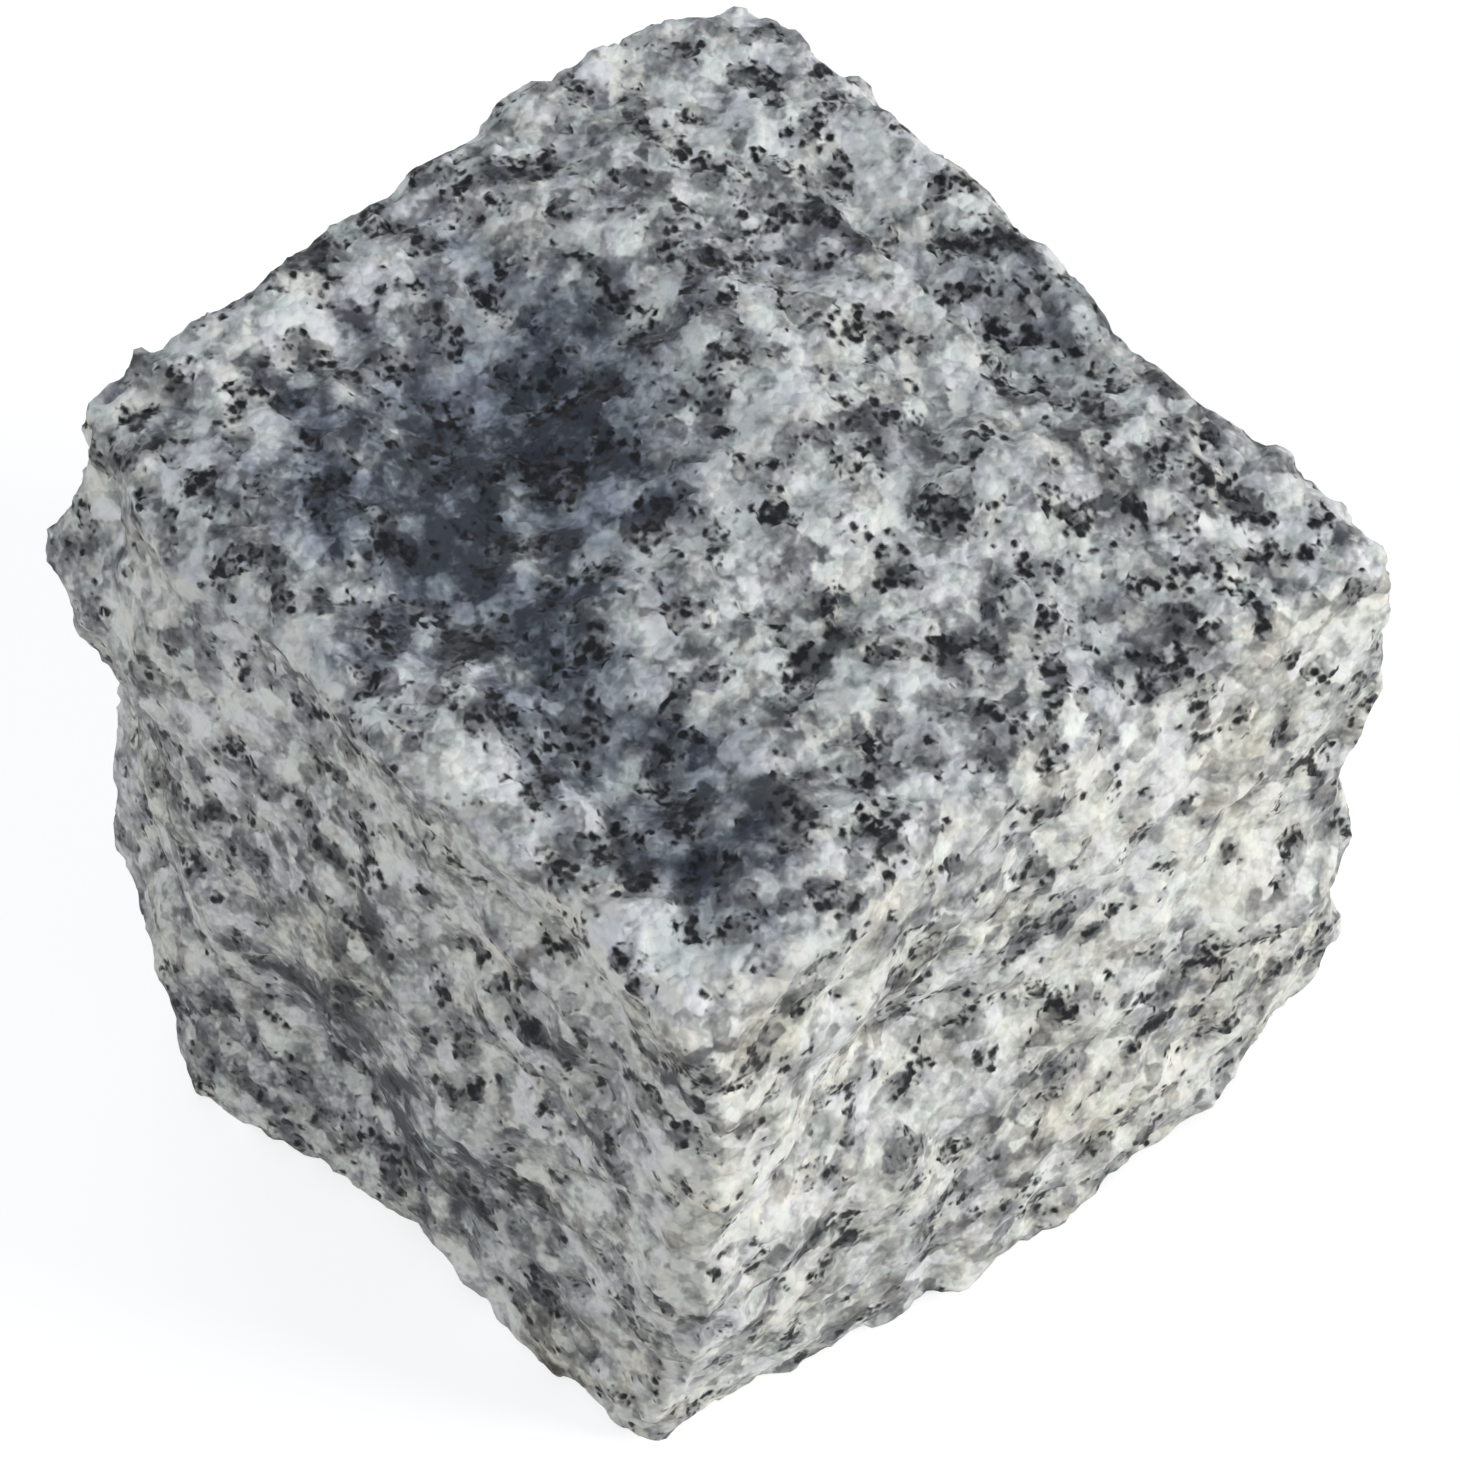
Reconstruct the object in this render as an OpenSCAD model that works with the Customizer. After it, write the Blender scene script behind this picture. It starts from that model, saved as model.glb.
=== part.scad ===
// Granite sett: one rough block, split on every face, standing on its bed.
// The frame has +Z up, with the origin under the middle of the block, on the
// level surface that it stands on.  -Y is the front, -X the left-hand side.

/* [Block] */
// Length of the block from left to right, before its edges stray (mm)
stone_l = 97; // [70:1:220]
// Width of the block from front to back, before its edges stray (mm)
stone_w = 105; // [70:1:160]
// Height of the block from its bed to its head, before its edges stray (mm)
stone_h = 95; // [60:1:160]

/* [Arrises] */
// How far the split edges stray from straight lines (mm)
arris_wander = 5; // [0:0.5:8]
// How much is worn off along the edges (mm)
arris_wear = 1.3; // [0:0.1:3]
// How much more is worn off at the corners (mm)
corner_wear = 2; // [0:0.1:4]
// How far from a corner that wear reaches (mm)
corner_reach = 16; // [10:1:30]

/* [Faces] */
// Height or depth of the largest swells and hollows (mm)
swell = 6; // [0:0.5:9]
// Reach of the largest swells and hollows, from middle to rim (mm)
swell_reach = 40; // [20:1:60]
// Depth or height of the small hollows and ridges (mm)
dent = 2; // [0:0.1:3]
// Reach of the small hollows and ridges, from middle to rim (mm)
dent_reach = 12; // [8:1:20]

/* [Split surface] */
// Spacing of the broad waves that splitting leaves (mm)
wave_pitch = 26; // [16:1:60]
// Height of the broad waves (mm)
wave_relief = 1.5; // [0:0.1:3]
// Spacing of the flat chips that make up the split faces (mm)
chip_pitch = 9; // [7:0.5:20]
// How far the chips stand out from or behind each other (mm)
chip_step = 0.4; // [0:0.1:1.5]
// How much the chips lean, as rise over run
chip_lean = 0.2; // [0:0.05:0.4]
// Spacing of the small bumps (mm)
bump_pitch = 7.5; // [6:0.5:20]
// Height of the small bumps (mm)
bump_relief = 0.9; // [0:0.1:2]
// Which split it is: each number gives another stone of the same form
split_seed = 11; // [1:1:99]

/* [Bed] */
// How far the hollows of the underside lie above the surface below it (mm)
bed_relief = 2.5; // [0:0.1:5]

/* [Mesh] */
// Number of facets along each edge
cells = 30; // [12:1:30]

/* [Hidden] */

granite_colour = [0.64, 0.65, 0.65];

half_l = stone_l / 2;
half_w = stone_w / 2;
half_h = stone_h / 2;

// The eight corners, as shares of half_l, half_w and stone_h.  They go round
// from the front left, seen from above: first those of the bed, then those of
// the head.
corner_shares = [
    [-0.93, -0.77, 0.00],
    [ 1.00, -0.91, 0.00],
    [ 0.90,  0.90, 0.00],
    [-0.92,  0.86, 0.00],
    [-0.96, -0.94, 0.95],
    [ 0.96, -0.97, 0.92],
    [ 1.00,  0.95, 1.03],
    [-0.88,  0.96, 0.98]
];

// The twelve edges: the two corners, then how far the edge strays at four
// stations between them, as shares of arris_wander along X, Y and Z.
bed_edge_shares = [
    [0, 1, [[0, -0.2, 0], [0, -0.6, 0], [0, -0.5, 0], [0, -0.5, 0]]],
    [1, 2, [[-0.2, 0, 0], [0.4, 0, 0], [0.6, 0, 0], [-0.2, 0, 0]]],
    [2, 3, [[0, 0.5, 0], [0, -0.4, 0], [0, 0.3, 0], [0, 0.6, 0]]],
    [3, 0, [[-1.2, 0, 0], [-0.8, 0, 0], [-0.2, 0, 0], [0, 0, 0]]]
];
upright_edge_shares = [
    [0, 4, [[0.1, -0.4, 0], [0.1, -0.8, 0], [0.1, -0.4, 0], [0.3, -0.5, 0]]],
    [1, 5, [[-0.1, -0.3, 0], [0, 0, 0], [-0.3, 0.1, 0], [0.3, 0, 0]]],
    [2, 6, [[0.4, 0.6, 0], [-0.2, 0.3, 0], [0.5, -0.3, 0], [0.2, 0.5, 0]]],
    [3, 7, [[-0.4, 0.8, 0], [-0.4, 0.4, 0], [-0.4, 0.5, 0], [-0.6, 0.5, 0]]]
];
head_edge_shares = [
    [4, 5, [[0, 0.1, 0.2], [0, 0.8, 0], [0, 0.6, -0.1], [0, 0.2, -0.2]]],
    [5, 6, [[-0.1, 0, 0], [-0.3, 0, 0], [-0.2, 0, 0], [-0.1, 0, 0]]],
    [6, 7, [[0, 0.5, 0], [0, 0.3, 0.1], [0, 0.1, 0], [0, -0.1, 0]]],
    [7, 4, [[-0.3, 0, 0], [-0.2, 0, -0.1], [-0.3, 0, 0.2], [-0.1, 0, 0.1]]]
];

// Swells and hollows: a place, as shares of half_l and half_w and of stone_h,
// then its reach and height as shares of swell_reach and swell.  A negative
// height is a hollow.
swell_shares = [
    // Head: the dished left side, the rim beside it and the rise in the middle
    [-0.20,  0.45, 1.00, 0.65, -0.75],
    [-0.58,  0.10, 1.00, 0.45, -0.45],
    [-0.62, -0.40, 1.00, 0.50, -0.55],
    [-0.95, -0.10, 0.97, 0.40,  0.25],
    [ 0.20,  0.10, 1.00, 0.60,  0.45],
    [ 0.55, -0.45, 1.00, 0.50,  0.40],
    [ 0.35, -0.95, 0.95, 0.35, -0.50],
    [ 0.80, -0.20, 1.00, 0.35, -0.35],
    // Front: the scallop and the ridges round it
    [-0.35, -1.00, 0.55, 0.65, -0.60],
    [-0.80, -1.00, 0.62, 0.35,  0.40],
    [ 0.40, -1.00, 0.80, 0.45, -0.30],
    [ 0.75, -1.00, 0.38, 0.40,  0.45],
    [-0.50, -0.90, 0.25, 0.45, -0.20],
    // Left: the scoop near the bed, the ridge and the undercut near the corner
    [-1.00,  0.20, 0.25, 0.50, -0.60],
    [-1.00, -0.30, 0.40, 0.40,  0.35],
    [-1.00,  0.90, 0.74, 0.30,  0.45],
    [-1.00, -0.60, 0.85, 0.25, -0.35],
    // Right and back, which follow the same habit
    [ 1.00,  0.30, 0.60, 0.60, -0.55],
    [ 1.00, -0.40, 0.35, 0.45,  0.40],
    [ 0.10,  1.00, 0.45, 0.65, -0.60],
    [-0.55,  1.00, 0.75, 0.40,  0.35],
    [ 0.60,  1.00, 0.25, 0.40,  0.30],
    // Knocked corners: the far one of the head and two of the bed
    [ 0.95,  0.98, 1.02, 0.40, -0.45],
    [-0.95,  0.90, 0.00, 0.45, -0.60],
    [ 0.98, -0.90, 0.00, 0.50, -0.55]
];

// Small hollows and ridges: a place as above, then its reach and height as
// shares of dent_reach and dent
dent_shares = [
    // Head: the deep part of the dish
    [-0.20,  0.45, 0.96, 1.10, -0.80],
    [ 0.02,  0.36, 0.97, 0.70, -0.50],
    // Head: the valley along its left side and the rim outside it
    [-0.57,  0.13, 0.96, 0.80, -0.65],
    [-0.61, -0.24, 0.95, 0.80, -1.00],
    [-0.59, -0.47, 0.94, 0.80, -1.00],
    [-0.70, -0.68, 0.94, 0.75, -1.10],
    [-0.82, -0.88, 0.94, 0.60, -0.50],
    [-0.84,  0.28, 0.97, 0.70,  0.40],
    [-0.88, -0.19, 0.96, 0.70,  0.50],
    [-0.90, -0.63, 0.95, 0.65,  0.50],
    // Head: the ridge across its middle
    [ 0.08,  0.14, 0.99, 0.85,  0.50],
    [ 0.37,  0.60, 0.99, 0.85,  0.40],
    [ 0.02, -0.23, 0.97, 0.85,  0.40],
    // Head: hollows near its right, front and back arrises
    [ 0.88,  0.06, 0.97, 0.75, -0.60],
    [ 0.73, -0.23, 0.97, 0.70, -0.60],
    [ 0.78, -0.45, 0.96, 0.70, -0.50],
    [ 0.37, -0.83, 0.95, 0.70, -0.60],
    [ 0.24,  0.83, 0.99, 0.65, -0.50],
    // Front: inside the scallop and on the ridges round it
    [-0.37, -0.93, 0.58, 1.20, -0.75],
    [-0.49, -0.90, 0.32, 0.85, -0.50],
    [ 0.00, -0.95, 0.78, 0.75, -0.60],
    [ 0.88, -0.93, 0.51, 0.65, -0.70],
    [-0.76, -0.93, 0.62, 0.70,  0.50],
    [-0.39, -0.95, 0.85, 0.70,  0.40],
    [ 0.39, -0.95, 0.79, 0.70,  0.30],
    [ 0.80, -0.93, 0.41, 0.80,  0.30],
    // Left: the scoop, the pits under the arris and the slanting ridge
    [-0.92,  0.19, 0.22, 1.20, -1.10],
    [-0.95, -0.47, 0.87, 0.65, -0.80],
    [-0.93, -0.66, 0.66, 0.65, -0.80],
    [-0.93, -0.88, 0.68, 0.65, -0.60],
    [-0.93, -0.11, 0.54, 0.75,  0.50],
    [-0.93, -0.32, 0.41, 0.75,  0.60],
    [-0.93, -0.72, 0.29, 0.75,  0.50]
];

// How sharply the outward direction turns from one face to the next
turn_power = 5;

// Share of the way along an edge, with the facets closer together at its ends
crowd_share = 0.35;
function station(i) =
    let (t = i / cells)
    (1 - crowd_share) * t + crowd_share * (1 - cos(180 * t)) / 2;

function corner(k) = [
    corner_shares[k].x * half_l,
    corner_shares[k].y * half_w,
    corner_shares[k].z * stone_h
];

// A smooth curve through equally spaced values
function along(values, t) =
    let (
        spans = len(values) - 1,
        s = min(floor(t * spans), spans - 1),
        f = t * spans - s,
        p0 = values[max(s - 1, 0)],
        p1 = values[s],
        p2 = values[s + 1],
        p3 = values[min(s + 2, spans)]
    )
    p1 + f * (p2 - p0) / 2
        + f * f * (2 * p0 - 5 * p1 + 4 * p2 - p3) / 2
        + f * f * f * (3 * p1 - 3 * p2 + p3 - p0) / 2;

function edge_point(edge, t) =
    let (stray = concat([[0, 0, 0]], edge[2], [[0, 0, 0]]))
    corner(edge[0]) * (1 - t) + corner(edge[1]) * t + arris_wander * along(stray, t);

// A patch filled in smoothly between four edges.  u runs along low and high,
// and v along start and end.
function patch(low, high, start, end, u, v) =
    low * (1 - v) + high * v + start * (1 - u) + end * u;
function patch_corners(a, b, c, d, u, v) =
    (a * (1 - u) + b * u) * (1 - v) + (c * (1 - u) + d * u) * v;

function side_point(s, u, v) =
    let (e = (s + 1) % 4)
    patch(
        edge_point(bed_edge_shares[s], u), edge_point(head_edge_shares[s], u),
        edge_point(upright_edge_shares[s], v), edge_point(upright_edge_shares[e], v), u, v
    ) - patch_corners(corner(s), corner(e), corner(s + 4), corner(e + 4), u, v);

// The head or bed: u runs to the right and v to the back
function cap_point(edges, first, u, v) =
    patch(
        edge_point(edges[0], u), edge_point(edges[2], 1 - u),
        edge_point(edges[3], 1 - v), edge_point(edges[1], v), u, v
    ) - patch_corners(
        corner(first), corner(first + 1), corner(first + 3), corner(first + 2), u, v
    );

// Outward direction at a point of the block
function outward(p) =
    let (
        q = [p.x / half_l, p.y / half_w, p.z / half_h - 1],
        d = [for (c = q) sign(c) * pow(abs(c), turn_power)]
    )
    d / norm(d);

// Smooth noise from -1 to 1, from a table of random values at the points of a lattice
table_size = 4096;
lattice = rands(-1, 1, table_size, split_seed);
lattice_step = [1, 57, 1733];
function at(i) =
    lattice[((i * lattice_step) % table_size + table_size) % table_size];
function ease(t) = t * t * (3 - 2 * t);
function noise(p) =
    let (
        i = [for (c = p) floor(c)],
        f = [for (k = [0:2]) ease(p[k] - i[k])],
        planes = [for (z = [0, 1])
            let (rows = [for (y = [0, 1])
                at(i + [0, y, z]) * (1 - f.x) + at(i + [1, y, z]) * f.x])
            rows[0] * (1 - f.y) + rows[1] * f.y]
    )
    planes[0] * (1 - f.z) + planes[1] * f.z;

// Flat chips, each round a point of its own and leaning its own way.  Each
// number is read at its own place in the table.
chip_scatter_share = 0.35;
chip_shifts = [[0, 0, 0], [7, 0, 0], [0, 7, 0], [0, 0, 7], [7, 7, 0], [0, 7, 7], [7, 0, 7]];
function chip_number(i, k) = at(i + chip_shifts[k]);
function chip_middle(i) =
    i + [for (k = [0:2]) 0.5 + chip_scatter_share * chip_number(i, k)];
function chip(p) =
    let (
        q = p / chip_pitch,
        near = [for (x = [-1:1], y = [-1:1], z = [-1:1])
            [floor(q.x) + x, floor(q.y) + y, floor(q.z) + z]],
        away = [for (i = near) norm(q - chip_middle(i))],
        least = min(away),
        own = [for (k = [0:len(near) - 1]) if (away[k] == least) near[k]][0],
        lean = [for (k = [3:5]) chip_number(own, k)]
    )
    chip_step * chip_number(own, 6) + chip_lean * (p - chip_middle(own) * chip_pitch) * lean;

// How far a swell lifts a point, from its full height in the middle to nothing at its rim
function swell_at(p, s, reach, height) =
    let (
        middle = [s[0] * half_l, s[1] * half_w, s[2] * stone_h],
        r = min(norm(p - middle) / (s[3] * reach), 1)
    )
    s[4] * height * pow(1 - r * r, 2);
function sum(values, i = 0) = i < len(values) ? values[i] + sum(values, i + 1) : 0;

// Each noise is read well away from the others, so that they don't line up
bump_shift = [31, 17, 23];
function relief(p) =
    sum([for (s = swell_shares) swell_at(p, s, swell_reach, swell)])
    + sum([for (s = dent_shares) swell_at(p, s, dent_reach, dent)])
    + wave_relief * noise(p / wave_pitch)
    + bump_relief * noise(p / bump_pitch + bump_shift)
    + chip(p);

// Wear at a point, all along the edges and growing towards the corners
function corner_loss(p) =
    sum([for (k = [0:7]) pow(1 - min(norm(p - corner(k)) / corner_reach, 1), 2)]);
function wear(p, on_edge) = corner_wear * corner_loss(p) + (on_edge ? arris_wear : 0);
function split_point(p, on_edge) = p + outward(p) * (relief(p) - wear(p, on_edge));

// None of the points goes below the surface that the block stands on.  The
// bed hangs down between its worn edges, so most of it lies level there.
function on_ground(p) = [p.x, p.y, max(0, p.z)];
function bed_lift(p) =
    [0, 0, bed_relief * noise([p.x, p.y, 0] / wave_pitch + bump_shift) - arris_wear];

// The points: rings of four sides from the bed up, then the inside of the bed and of the head
ring = 4 * cells;
ring_points = [
    for (k = [0:cells], s = [0:3], i = [0:cells - 1])
        let (on_edge = i == 0 || k == 0 || k == cells)
        on_ground(split_point(side_point(s, station(i), station(k)), on_edge))
];
bed_points = [
    for (j = [1:cells - 1], i = [1:cells - 1])
        let (
            p = patch(
                ring_points[i], ring_points[3 * cells - i],
                ring_points[ring - j], ring_points[cells + j], station(i), station(j)
            ) - patch_corners(
                ring_points[0], ring_points[cells],
                ring_points[3 * cells], ring_points[2 * cells], station(i), station(j)
            )
        )
        on_ground(p + bed_lift(p))
];
head_points = [
    for (j = [1:cells - 1], i = [1:cells - 1])
        split_point(cap_point(head_edge_shares, 4, station(i), station(j)), false)
];
rough_points = concat(ring_points, bed_points, head_points);

// Centred over the origin
low = [for (k = [0:2]) min([for (p = rough_points) p[k]])];
high = [for (k = [0:2]) max([for (p = rough_points) p[k]])];
middle_shift = [(low.x + high.x) / 2, (low.y + high.y) / 2, 0];
points = [for (p = rough_points) p - middle_shift];

// Which point is at place i, j of the bed or head
inner = cells - 1;
function cap_index(level, first, i, j) =
    j == 0 ? level * ring + i
    : i == cells ? level * ring + cells + j
    : j == cells ? level * ring + 3 * cells - i
    : i == 0 ? level * ring + (4 * cells - j) % ring
    : first + (j - 1) * inner + i - 1;

// Two triangles for each facet, split along its shorter diagonal
function halves(a, b, c, d) =
    norm(points[a] - points[c]) < norm(points[b] - points[d])
        ? [[a, b, c], [a, c, d]]
        : [[a, b, d], [b, c, d]];

side_faces = [
    for (k = [0:cells - 1], i = [0:ring - 1])
        let (n = (i + 1) % ring)
        each halves(k * ring + i, (k + 1) * ring + i, (k + 1) * ring + n, k * ring + n)
];
bed_first = len(ring_points);
head_first = bed_first + len(bed_points);
bed_faces = [
    for (j = [0:inner], i = [0:inner])
        each halves(
            cap_index(0, bed_first, i, j), cap_index(0, bed_first, i + 1, j),
            cap_index(0, bed_first, i + 1, j + 1), cap_index(0, bed_first, i, j + 1)
        )
];
head_faces = [
    for (j = [0:inner], i = [0:inner])
        each halves(
            cap_index(cells, head_first, i, j), cap_index(cells, head_first, i, j + 1),
            cap_index(cells, head_first, i + 1, j + 1), cap_index(cells, head_first, i + 1, j)
        )
];

module sett() {
    color(granite_colour)
        polyhedron(points, concat(side_faces, bed_faces, head_faces), convexity = 4);
}

sett();
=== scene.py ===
"""Granite sett: the looks of one split block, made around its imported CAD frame.

The stone's shape comes from the CAD node. Its mesh is copied, divided finely and
broken up into the facets and grains of split granite, and its material is made
of feldspar, quartz and black mica in the stone's own coordinates.
"""

import logging
import math
from dataclasses import dataclass, field
from enum import Enum
from typing import Any, Sequence

import bmesh
import bpy
from mathutils import Matrix, Vector, noise

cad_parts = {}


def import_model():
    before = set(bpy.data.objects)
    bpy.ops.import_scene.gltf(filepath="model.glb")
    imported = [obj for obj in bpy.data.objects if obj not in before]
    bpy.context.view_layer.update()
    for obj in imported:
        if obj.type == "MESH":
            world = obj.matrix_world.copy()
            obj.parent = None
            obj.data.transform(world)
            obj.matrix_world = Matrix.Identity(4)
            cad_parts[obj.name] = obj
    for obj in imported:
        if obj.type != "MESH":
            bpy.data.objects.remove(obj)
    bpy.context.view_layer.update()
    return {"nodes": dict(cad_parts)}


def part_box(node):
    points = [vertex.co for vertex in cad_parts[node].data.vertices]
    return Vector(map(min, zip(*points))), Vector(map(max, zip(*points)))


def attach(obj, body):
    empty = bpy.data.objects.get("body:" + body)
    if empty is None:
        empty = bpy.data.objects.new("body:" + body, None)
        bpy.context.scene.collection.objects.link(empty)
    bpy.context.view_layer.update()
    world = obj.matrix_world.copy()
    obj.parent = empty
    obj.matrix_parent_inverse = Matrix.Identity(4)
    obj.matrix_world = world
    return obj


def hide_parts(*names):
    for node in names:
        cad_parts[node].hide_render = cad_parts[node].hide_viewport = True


LOG = logging.getLogger("sett")
MM = 0.001
PHOTO_WIDTH_PX = 1460
FILM_WIDTH = 36.0

Point = tuple[float, float, float]
Band = tuple[float, float]

# The way in which the crystals are drawn out, and how far, from 0 to 1.
RIFT: Point = (-0.4125, -0.4662, 0.7826)
DRAWN = 0.33


class Tone(Enum):
    """The stone's colours, as linear red, green and blue."""

    QUARTZ_DARK = (0.095, 0.098, 0.105)
    QUARTZ = (0.215, 0.215, 0.220)
    FELDSPAR_DULL = (0.400, 0.402, 0.400)
    FELDSPAR = (0.620, 0.622, 0.605)
    FELDSPAR_WHITE = (0.810, 0.810, 0.795)
    MICA = (0.004, 0.004, 0.006)
    MICA_WORN = (0.032, 0.032, 0.036)
    # Painted shade: the bluish dark of hollows in shadow, lit by the sky alone.
    SMOKE = (0.52, 0.56, 0.655)
    # Brown of the rust stains, also used for the warm light painted on upright faces.
    RUST = (1.0, 0.93, 0.78)
    LILAC = (0.955, 0.955, 1.0)
    NEUTRAL = (1.0, 1.0, 1.0)
    GREENISH = (0.955, 1.0, 0.98)
    BUFF = (1.0, 0.98, 0.945)


# Shader maths


class Sock:
    """A value in a node tree, which adds Math nodes when it is used in sums."""

    def __init__(self, tree: "Tree", socket: bpy.types.NodeSocket) -> None:
        """Wraps one output socket of a tree."""
        self.tree = tree
        self.socket = socket

    def _math(self, operation: str, *values: Any) -> "Sock":
        """Adds one Math node.

        Args:
            operation: The Math node's operation.
            values: Its inputs, in order.

        Returns:
            The node's output.
        """
        return self.tree.node("ShaderNodeMath", {"operation": operation}, dict(enumerate(values)))

    def __add__(self, other: Any) -> "Sock":
        """self + other."""
        return self._math("ADD", self, other)

    __radd__ = __add__

    def __sub__(self, other: Any) -> "Sock":
        """self - other."""
        return self._math("SUBTRACT", self, other)

    def __rsub__(self, other: Any) -> "Sock":
        """other - self."""
        return self._math("SUBTRACT", other, self)

    def __mul__(self, other: Any) -> "Sock":
        """self * other."""
        return self._math("MULTIPLY", self, other)

    __rmul__ = __mul__

    def at_most(self, other: Any) -> "Sock":
        """The smaller of two values."""
        return self._math("MINIMUM", self, other)

    def at_least(self, other: Any) -> "Sock":
        """The larger of two values."""
        return self._math("MAXIMUM", self, other)

    def ramp(self, start: Any, end: Any) -> "Sock":
        """A smooth step.

        Args:
            start: The value at which the result is 0.
            end: The value at which it is 1.

        Returns:
            The step, from 0 to 1.
        """
        return self.tree.node(
            "ShaderNodeMapRange",
            {"interpolation_type": "SMOOTHSTEP", "clamp": True},
            {"Value": self, "From Min": start, "From Max": end},
        )


class Tree:
    """Builds the nodes of one material or world."""

    def __init__(self, owner: bpy.types.Material | bpy.types.World) -> None:
        """Empties the node tree of a material or world.

        Args:
            owner: The material or world.
        """
        owner.use_nodes = True
        self.nodes = owner.node_tree.nodes
        self.links = owner.node_tree.links
        self.nodes.clear()

    def node(
        self,
        kind: str,
        settings: dict[str, Any] | None = None,
        inputs: dict[str | int, Any] | None = None,
        output: str | int = 0,
    ) -> Sock:
        """Adds a node.

        Args:
            kind: The node's type.
            settings: Its own properties and a ramp's stops, which are set first.
            inputs: Values or links, by socket name or number.
            output: The output to return.

        Returns:
            That output.
        """
        made = self.nodes.new(kind)
        for key, value in (settings or {}).items():
            if key == "stops":
                self._set_stops(made.color_ramp, value)
            else:
                setattr(made, key, value)
        for key, value in (inputs or {}).items():
            socket = self._input(made, key)
            if isinstance(value, Sock):
                self.links.new(value.socket, socket)
            elif isinstance(value, Enum):
                socket.default_value = (*value.value, 1.0)
            else:
                socket.default_value = value
        return Sock(self, self._output(made, output))

    @staticmethod
    def _input(made: bpy.types.Node, key: str | int) -> bpy.types.NodeSocket:
        """Finds an input by number, or by name among those in use."""
        if isinstance(key, int):
            return made.inputs[key]
        return next(s for s in made.inputs if s.name == key and s.enabled)

    @staticmethod
    def _output(made: bpy.types.Node, key: str | int) -> bpy.types.NodeSocket:
        """Finds an output by number, or by name among those in use."""
        if isinstance(key, int):
            return [s for s in made.outputs if s.enabled][key]
        return next(s for s in made.outputs if s.name == key and s.enabled)

    def also(self, sock: Sock, output: str) -> Sock:
        """Another output of the node that a value comes from."""
        return Sock(self, self._output(sock.socket.node, output))

    def vector(self, operation: str, *values: Any) -> Sock:
        """Adds a Vector Math node.

        Args:
            operation: Its operation.
            values: Its inputs, in order.

        Returns:
            Its result, which is a number for a distance or a dot product.
        """
        inputs: dict[str | int, Any] = dict(enumerate(values))
        if operation == "SCALE":
            inputs = {0: values[0], "Scale": values[1]}
        return self.node("ShaderNodeVectorMath", {"operation": operation}, inputs)

    def mix(self, factor: Any, first: Any, second: Any, blend: str = "MIX") -> Sock:
        """Mixes two colours.

        Args:
            factor: How much of the second shows, from 0 to 1.
            first: The first colour.
            second: The second colour.
            blend: The way in which they are mixed.

        Returns:
            The mixed colour.
        """
        settings = {"data_type": "RGBA", "blend_type": blend, "clamp_factor": True}
        return self.node(
            "ShaderNodeMix", settings, {"Factor": factor, "A": first, "B": second}, "Result"
        )

    def noise(self, place: Any, scale: float, detail: float = 0.0, rough: float = 0.5) -> Sock:
        """Noise over a place.

        Args:
            place: The coordinates to read.
            scale: Its frequency.
            detail: How many finer layers it has.
            rough: How strong those are.

        Returns:
            Its value, from 0 to 1.
        """
        return self.node(
            "ShaderNodeTexNoise",
            {"noise_dimensions": "3D"},
            {"Vector": place, "Scale": scale, "Detail": detail, "Roughness": rough},
        )

    def cells(self, place: Any, scale: float) -> Sock:
        """Cells like crystals over a place.

        Args:
            place: The coordinates to read.
            scale: How many there are to a unit of length.

        Returns:
            The distance from each cell's middle, in cells.
        """
        return self.node(
            "ShaderNodeTexVoronoi",
            {"voronoi_dimensions": "3D", "feature": "F1"},
            {"Vector": place, "Scale": scale},
        )

    def centred(self, colour: Sock) -> Sock:
        """A random colour as a random vector, from -0.5 to 0.5 along each axis."""
        return self.vector("SUBTRACT", colour, (0.5, 0.5, 0.5))

    def moved(self, place: Any, way: Sock, amount: float) -> Sock:
        """A place moved along a vector by an amount."""
        return self.vector("ADD", place, self.vector("SCALE", way, amount))

    def blurred(self, place: Any, amount: float) -> Sock:
        """A place moved about at random for each ray, which blurs what is read there.

        Args:
            place: The coordinates to move.
            amount: How far they are moved at most, along each axis.

        Returns:
            The moved coordinates.
        """
        away = self.node(
            "ShaderNodeTexWhiteNoise", {"noise_dimensions": "3D"}, {"Vector": place}, "Color"
        )
        return self.moved(place, self.centred(away), 2.0 * amount)

    @staticmethod
    def _set_stops(ramp: bpy.types.ColorRamp, stops: Sequence[tuple[float, Enum]]) -> None:
        """Gives a colour ramp its stops, each a place on the scale and a colour."""
        while len(ramp.elements) < len(stops):
            ramp.elements.new(1.0)
        for element, (position, tone) in zip(ramp.elements, stops):
            element.position = position
            element.color = (*tone.value, 1.0)

    def seen(self) -> Sock:
        """1 for rays by which the camera sees a surface, itself or mirrored, and 0 for light."""
        path = self.node("ShaderNodeLightPath", output="Is Camera Ray")
        mirrored = self.also(path, "Is Glossy Ray") + self.also(path, "Is Transmission Ray")
        return (path + mirrored).at_most(1.0)

    def finish(self, shader: Sock, kind: str = "ShaderNodeOutputMaterial") -> None:
        """Links the finished shader to an output node of that kind."""
        self.links.new(shader.socket, self.nodes.new(kind).inputs["Surface"])


# The stone's material


class Stain(Enum):
    """What is kept for each point of the mesh, by the name of its attribute."""

    # Painted shade, darker and bluer.
    SMOKE = "painted_shade"
    # Rust stains, and painted warm light on the upright faces.
    RUST = "rust"
    PALE = "pale"
    MICA = "mica"
    HUE = "hue"
    ROUGH = "rough"

    def read(self, tree: Tree) -> Sock:
        """The attribute in a material."""
        return tree.node("ShaderNodeAttribute", {"attribute_name": self.value}, {}, "Fac")


# How uneven a patch's rim is, and how much of its reach it takes to fade away.
RIM_RAGGED = 0.45
RIM_FADE = 0.75


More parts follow.
